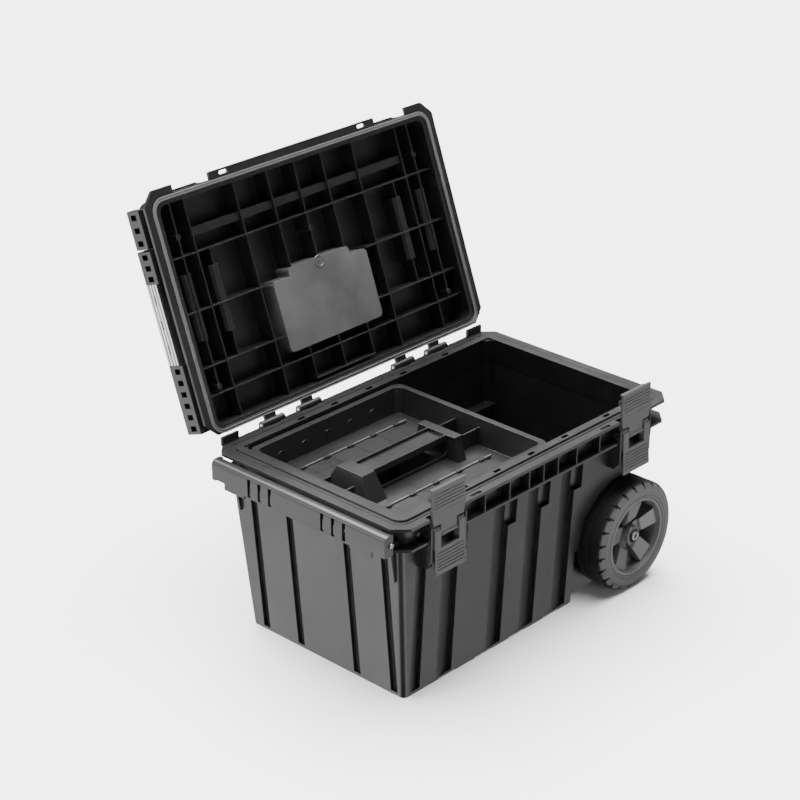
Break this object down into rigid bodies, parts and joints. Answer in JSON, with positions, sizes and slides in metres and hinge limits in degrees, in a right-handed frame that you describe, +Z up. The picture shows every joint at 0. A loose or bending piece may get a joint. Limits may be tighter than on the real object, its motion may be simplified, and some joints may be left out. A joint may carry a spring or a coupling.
{
  "type": "rolling tool chest",
  "caption": "Lidded moulded tool tub with draw latches, a lift-out tray, a hinged pull bar at one end and wheels at the other.",
  "frame": {"origin": "centre of the tub's flat underside, on the floor", "axes": "+X along the long side towards the wheels, +Z up, -Y towards the latches"},
  "size_m": [0.62, 0.5515, 0.6503],
  "materials": {
    "charcoal_plastic": "satin moulded polypropylene",
    "grey_plastic": "satin moulded polyamide",
    "wheel_plastic": "satin moulded",
    "black_rubber": "soft rubber",
    "grey_rubber": "foamed sealing strip",
    "aluminium": "brushed extrusion",
    "zinc_steel": "zinc plated",
    "bright_steel": "bright"
  },
  "bodies": {
    "chest": {"tub": "charcoal_plastic", "axle": "zinc_steel", "axle_washers": "zinc_steel", "axle_caps": "charcoal_plastic", "hinge_pins": "zinc_steel", "latch_pins_left": "zinc_steel", "latch_pins_right": "zinc_steel", "pull_bar_screws": "bright_steel", "rim_studs": "grey_plastic"},
    "lid": {"lid_shell": "charcoal_plastic", "lid_gasket": "grey_rubber", "lid_well_pan": "grey_plastic", "lid_rail_left": "aluminium", "lid_rail_right": "aluminium", "rail_brackets_left": "charcoal_plastic", "rail_brackets_right": "charcoal_plastic"},
    "lever_left": {"latch_lever_left": "grey_plastic", "hook_pin_left": "zinc_steel"},
    "hook_left": {"latch_hook_left": "grey_plastic"},
    "lever_right": {"latch_lever_right": "grey_plastic", "hook_pin_right": "zinc_steel"},
    "hook_right": {"latch_hook_right": "grey_plastic"},
    "front_wheel": {"tyre_front": "black_rubber", "wheel_front": "wheel_plastic"},
    "back_wheel": {"tyre_back": "black_rubber", "wheel_back": "wheel_plastic"},
    "tray": {"tray_pan": "charcoal_plastic", "tray_grip": "charcoal_plastic"},
    "tow_bar": {"pull_bar": "charcoal_plastic"}
  },
  "joints": [
    {"name": "lid_hinge", "type": "hinge", "parent": "chest", "child": "lid", "pos_m": [0, 0.188, 0.296], "axis": [1, 0, 0], "range_deg": [0, 110]},
    {"name": "tray_lift", "type": "slide", "parent": "chest", "child": "tray", "axis": [0, 0, -1], "range_m": [-0.25, 0]},
    {"name": "tow_bar_hinge", "type": "hinge", "parent": "chest", "child": "tow_bar", "pos_m": [-0.304, 0, 0.272], "axis": [0, 1, 0], "range_deg": [0, 75]},
    {"name": "front_wheel_spin", "type": "hinge", "parent": "chest", "child": "front_wheel", "pos_m": [0.214, -0.17, 0.0885], "axis": [0, 1, 0], "continuous": true},
    {"name": "back_wheel_spin", "type": "hinge", "parent": "chest", "child": "back_wheel", "pos_m": [0.214, 0.17, 0.0885], "axis": [0, 1, 0], "continuous": true},
    {"name": "lever_left_hinge", "type": "hinge", "parent": "chest", "child": "lever_left", "pos_m": [-0.2075, -0.186, 0.274], "axis": [-1, 0, 0], "range_deg": [-6, 60]},
    {"name": "hook_left_hinge", "type": "hinge", "parent": "lever_left", "child": "hook_left", "pos_m": [-0.2075, -0.188, 0.265], "axis": [-1, 0, 0], "range_deg": [-106, 11]},
    {"name": "lever_right_hinge", "type": "hinge", "parent": "chest", "child": "lever_right", "pos_m": [0.2075, -0.186, 0.274], "axis": [-1, 0, 0], "range_deg": [-6, 60]},
    {"name": "hook_right_hinge", "type": "hinge", "parent": "lever_right", "child": "hook_right", "pos_m": [0.2075, -0.188, 0.265], "axis": [-1, 0, 0], "range_deg": [-106, 11]}
  ],
  "couplings": [
    {"joint": "hook_left_hinge", "follows": "lever_left_hinge", "ratio": -1.75},
    {"joint": "hook_right_hinge", "follows": "lever_right_hinge", "ratio": -1.75}
  ]
}
